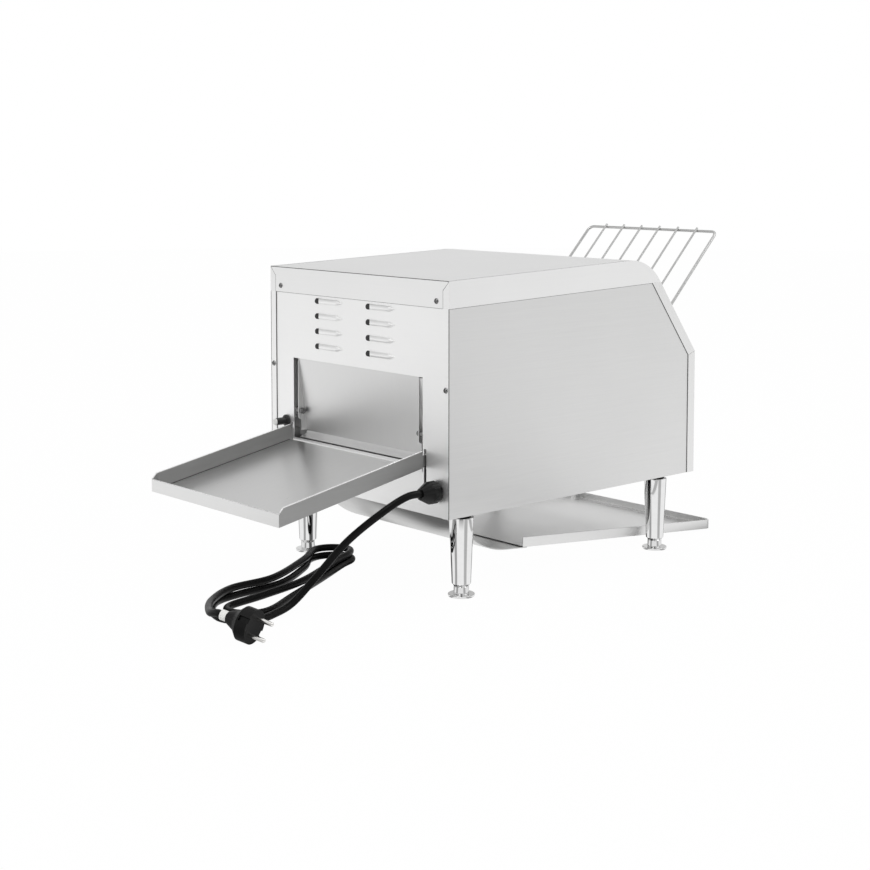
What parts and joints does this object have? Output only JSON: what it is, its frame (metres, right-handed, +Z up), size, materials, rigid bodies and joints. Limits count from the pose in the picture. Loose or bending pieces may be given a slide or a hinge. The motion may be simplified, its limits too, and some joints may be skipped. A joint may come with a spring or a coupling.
{
  "type": "conveyor toaster",
  "caption": "Countertop conveyor toaster in folded stainless sheet, with a sloping feed rack, a wire belt, an adjustable rear deflector, two trays and a free mains cord.",
  "frame": {"origin": "on the table under the middle of the whole toaster, measured without the free cord and its plug", "axes": "+Z up; -Y to the feed rack, the controls and the front tray; +Y to the rear tray; +X to the side with the gear motor"},
  "size_m": [0.344, 0.8276, 0.4184],
  "materials": {
    "brushed_steel": "fine brushed stainless sheet",
    "inner_steel": "plain mill-finish stainless sheet",
    "tray_steel": "satin stainless sheet",
    "bright_wire": "bright drawn stainless wire and rod",
    "chrome": "mirror-bright plating",
    "dark_steel": "oiled dark steel",
    "zinc": "zinc-plated steel",
    "quartz": "frosted quartz tube",
    "ceramic": "white glazed ceramic",
    "bronze": "sintered bronze",
    "black_plastic": "fine matt moulding",
    "red_rocker": "smooth moulding",
    "amber_lens": "translucent moulding",
    "cord_rubber": "smooth satin rubber",
    "tag_paper": "blank coated paper"
  },
  "bodies": {
    "housing": {"top_cover": "brushed_steel", "left_side_panel": "brushed_steel", "right_side_panel": "brushed_steel", "rear_panel": "brushed_steel", "front_panel": "brushed_steel", "base_plate": "inner_steel", "left_inner_wall": "inner_steel", "right_inner_wall": "inner_steel", "front_partition": "inner_steel", "upper_reflector": "inner_steel", "lower_reflector": "inner_steel", "upper_elements": "quartz", "lower_elements": "quartz", "element_insulators": "ceramic", "conveyor_belt": "bright_wire", "belt_guides": "inner_steel", "shaft_bushes": "bronze", "gear_motor": "zinc", "motor_bracket": "inner_steel", "drive_chain": "dark_steel", "terminal_block": "ceramic", "reset_switch": "zinc", "switch_body": "black_plastic", "pilot_lamp": "amber_lens", "speed_control": "black_plastic", "heat_selector": "black_plastic", "legs": "chrome", "leg_collars": "black_plastic", "leg_nuts": "zinc", "rack_brackets": "inner_steel", "deflector_bolts": "zinc", "lower_chute": "tray_steel", "cable_gland": "black_plastic", "cord": "cord_rubber", "plug_body": "cord_rubber", "plug_pins": "chrome", "cord_tag": "tag_paper", "cover_screws": "zinc", "panel_screws": "zinc"},
    "drive_axle": {"drive_shaft": "bright_wire", "drive_sprockets": "dark_steel", "chain_sprocket": "dark_steel"},
    "idler_axle": {"idler_shaft": "bright_wire", "idler_sprockets": "dark_steel"},
    "motor_output": {"motor_sprocket": "dark_steel"},
    "deflector_flap": {"deflector": "brushed_steel"},
    "feed_rack_frame": {"feed_rack": "bright_wire"},
    "front_tray_body": {"front_tray": "tray_steel"},
    "rear_tray_body": {"rear_tray": "tray_steel"},
    "speed_knob_body": {"speed_knob": "black_plastic"},
    "heat_knob_body": {"heat_knob": "black_plastic"},
    "rocker": {"switch_rocker": "red_rocker"},
    "reset_plunger": {"reset_button": "black_plastic"},
    "front_left_foot": {"foot_front_left": "chrome"},
    "front_right_foot": {"foot_front_right": "chrome"},
    "rear_left_foot": {"foot_rear_left": "chrome"},
    "rear_right_foot": {"foot_rear_right": "chrome"}
  },
  "joints": [
    {"name": "drive_spin", "type": "hinge", "parent": "housing", "child": "drive_axle", "pos_m": [0, 0.07698, 0.247], "axis": [1, 0, 0], "continuous": true},
    {"name": "idler_spin", "type": "hinge", "parent": "housing", "child": "idler_axle", "pos_m": [0, -0.19902, 0.247], "axis": [1, 0, 0], "continuous": true},
    {"name": "motor_spin", "type": "hinge", "parent": "housing", "child": "motor_output", "pos_m": [0.137, 0.07698, 0.1708], "axis": [1, 0, 0], "continuous": true},
    {"name": "deflector_tilt", "type": "hinge", "parent": "housing", "child": "deflector_flap", "pos_m": [0, 0.16398, 0.193], "axis": [1, 0, 0], "range_deg": [0, 50]},
    {"name": "feed_rack_lift", "type": "slide", "parent": "housing", "child": "feed_rack_frame", "axis": [0, -0.7071, 0.7071], "range_m": [0, 0.06]},
    {"name": "front_tray_pull", "type": "slide", "parent": "housing", "child": "front_tray_body", "axis": [0, -1, 0], "range_m": [0, 0.12]},
    {"name": "rear_tray_pull", "type": "slide", "parent": "housing", "child": "rear_tray_body", "axis": [0, 1, 0], "range_m": [0, 0.1]},
    {"name": "speed_turn", "type": "hinge", "parent": "housing", "child": "speed_knob_body", "pos_m": [0.075, -0.26852, 0.188], "axis": [0, 1, 0], "range_deg": [0, 270]},
    {"name": "heat_turn", "type": "hinge", "parent": "housing", "child": "heat_knob_body", "pos_m": [-0.075, -0.26852, 0.188], "axis": [0, 1, 0], "range_deg": [0, 135]},
    {"name": "rocker_switch", "type": "hinge", "parent": "housing", "child": "rocker", "pos_m": [0, -0.26652, 0.168], "axis": [1, 0, 0], "range_deg": [-18, 0]},
    {"name": "reset_press", "type": "slide", "parent": "housing", "child": "reset_plunger", "axis": [0, -1, 0], "range_m": [0, 0.003], "stiffness_N_per_m": 300},
    {"name": "foot_front_left_screw", "type": "slide", "parent": "housing", "child": "front_left_foot", "axis": [0, 0, -1], "range_m": [0, 0.01]},
    {"name": "foot_front_right_screw", "type": "slide", "parent": "housing", "child": "front_right_foot", "axis": [0, 0, -1], "range_m": [0, 0.01]},
    {"name": "foot_rear_left_screw", "type": "slide", "parent": "housing", "child": "rear_left_foot", "axis": [0, 0, -1], "range_m": [0, 0.01]},
    {"name": "foot_rear_right_screw", "type": "slide", "parent": "housing", "child": "rear_right_foot", "axis": [0, 0, -1], "range_m": [0, 0.01]}
  ],
  "couplings": [
    {"joint": "idler_spin", "follows": "drive_spin", "ratio": 1},
    {"joint": "motor_spin", "follows": "drive_spin", "ratio": 1}
  ]
}
